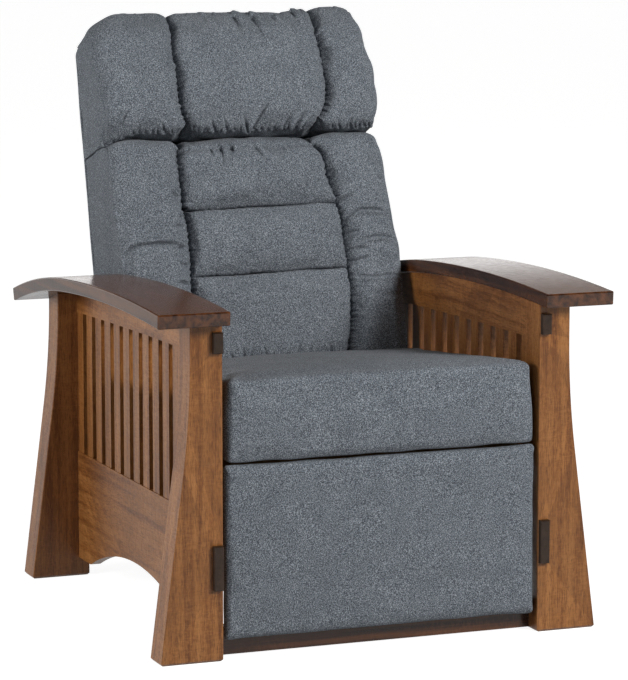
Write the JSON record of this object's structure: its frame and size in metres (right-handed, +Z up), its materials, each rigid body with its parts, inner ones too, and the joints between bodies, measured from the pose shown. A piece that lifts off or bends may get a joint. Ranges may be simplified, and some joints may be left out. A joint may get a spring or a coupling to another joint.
{
  "type": "reclining armchair",
  "caption": "Reclining armchair with slatted wooden sides under bowed arms, channelled upholstered back and a footrest that swings up and out.",
  "frame": {"origin": "floor under the middle of the chair", "axes": "+Z up, the chair faces -Y, +X to the pictured right of the chair"},
  "size_m": [0.828, 0.8983, 1.046],
  "materials": {
    "oak_frame": "satin, medium brown quarter-sawn oak with ray fleck",
    "dark_wood": "satin, dark brown stain",
    "tenon_ends": "satin, nearly black stain",
    "inner_wood": "bare sawn hardwood",
    "mechanism_steel": "satin black enamel",
    "bright_steel": "zinc plated",
    "tweed": "heathered blue-grey weave",
    "webbing": "woven elastic strap"
  },
  "bodies": {
    "frame": {"front_left_post": "oak_frame", "front_right_post": "oak_frame", "rear_left_post": "oak_frame", "rear_right_post": "oak_frame", "left_top_rail": "oak_frame", "right_top_rail": "oak_frame", "left_bottom_rail": "oak_frame", "right_bottom_rail": "oak_frame", "left_slats": "oak_frame", "right_slats": "oak_frame", "left_arm": "dark_wood", "right_arm": "dark_wood", "front_stretcher": "dark_wood", "rear_stretcher": "dark_wood", "upper_tenon_caps": "tenon_ends", "lower_tenon_caps": "tenon_ends", "arm_dowels": "inner_wood", "left_base_rail": "mechanism_steel", "right_base_rail": "mechanism_steel", "base_rail_screws": "bright_steel", "base_pivot_pins": "bright_steel"},
    "front_swing": {"front_swing_links": "mechanism_steel"},
    "rear_swing": {"rear_swing_links": "mechanism_steel"},
    "drive": {"recline_drive_links": "mechanism_steel"},
    "seat": {"seat_front_rail": "inner_wood", "seat_rear_rail": "inner_wood", "left_seat_rail": "inner_wood", "right_seat_rail": "inner_wood", "seat_springs": "bright_steel", "seat_cushion": "tweed", "left_mechanism_plate": "mechanism_steel", "right_mechanism_plate": "mechanism_steel", "seat_hangers": "mechanism_steel", "seat_pivot_pins": "bright_steel"},
    "back": {"left_back_rail": "inner_wood", "right_back_rail": "inner_wood", "back_top_rail": "inner_wood", "back_bottom_rail": "inner_wood", "back_webbing": "webbing", "outer_back": "tweed", "left_back_side": "tweed", "right_back_side": "tweed", "back_brackets": "mechanism_steel", "head_roll_left": "tweed", "head_roll_center": "tweed", "head_roll_right": "tweed", "left_back_bolster": "tweed", "right_back_bolster": "tweed", "back_upper_channel": "tweed", "back_middle_channel": "tweed", "back_lower_channel": "tweed"},
    "front_links": {"front_footrest_links": "mechanism_steel", "torque_tube": "mechanism_steel"},
    "rear_links": {"rear_footrest_links": "mechanism_steel"},
    "upper_links": {"upper_footrest_links": "mechanism_steel"},
    "lower_links": {"lower_footrest_links": "mechanism_steel"},
    "footrest": {"footrest_board": "inner_wood", "footrest_pad": "tweed", "footrest_brackets": "mechanism_steel"}
  },
  "joints": [
    {"name": "recline", "type": "hinge", "parent": "frame", "child": "front_swing", "pos_m": [0, -0.23564, 0.33458], "axis": [-1, 0, 0], "range_deg": [0, 35]},
    {"name": "rear_swing_pivot", "type": "hinge", "parent": "frame", "child": "rear_swing", "pos_m": [0, 0.02436, 0.33458], "axis": [-1, 0, 0], "range_deg": [0, 35]},
    {"name": "seat_pivot", "type": "hinge", "parent": "front_swing", "child": "seat", "pos_m": [0, -0.24523, 0.225], "axis": [-1, 0, 0], "range_deg": [-35, 0]},
    {"name": "drive_pivot", "type": "hinge", "parent": "rear_swing", "child": "drive", "pos_m": [0, 0.02477, 0.165], "axis": [-1, 0, 0], "range_deg": [-35, 0]},
    {"name": "back_pivot", "type": "hinge", "parent": "seat", "child": "back", "pos_m": [0, 0.18477, 0.33], "axis": [-1, 0, 0], "range_deg": [0, 35]},
    {"name": "footrest_lift", "type": "hinge", "parent": "seat", "child": "front_links", "pos_m": [0, -0.30023, 0.29], "axis": [-1, 0, 0], "range_deg": [0, 90]},
    {"name": "rear_link_pivot", "type": "hinge", "parent": "seat", "child": "rear_links", "pos_m": [0, -0.19523, 0.282], "axis": [-1, 0, 0], "range_deg": [0, 90]},
    {"name": "upper_link_pivot", "type": "hinge", "parent": "front_links", "child": "upper_links", "pos_m": [0, -0.26273, 0.1495], "axis": [-1, 0, 0], "range_deg": [-90, 0]},
    {"name": "lower_link_pivot", "type": "hinge", "parent": "front_links", "child": "lower_links", "pos_m": [0, -0.26273, 0.0745], "axis": [-1, 0, 0], "range_deg": [-90, 0]},
    {"name": "footrest_turn", "type": "hinge", "parent": "upper_links", "child": "footrest", "pos_m": [0, -0.36823, 0.275], "axis": [-1, 0, 0], "range_deg": [0, 90]}
  ],
  "couplings": [
    {"joint": "rear_swing_pivot", "follows": "recline", "ratio": 1},
    {"joint": "seat_pivot", "follows": "recline", "ratio": -1},
    {"joint": "drive_pivot", "follows": "recline", "ratio": -1},
    {"joint": "back_pivot", "follows": "recline", "ratio": 1},
    {"joint": "rear_link_pivot", "follows": "footrest_lift", "ratio": 1},
    {"joint": "upper_link_pivot", "follows": "footrest_lift", "ratio": -1},
    {"joint": "lower_link_pivot", "follows": "footrest_lift", "ratio": -1},
    {"joint": "footrest_turn", "follows": "footrest_lift", "ratio": 1}
  ]
}
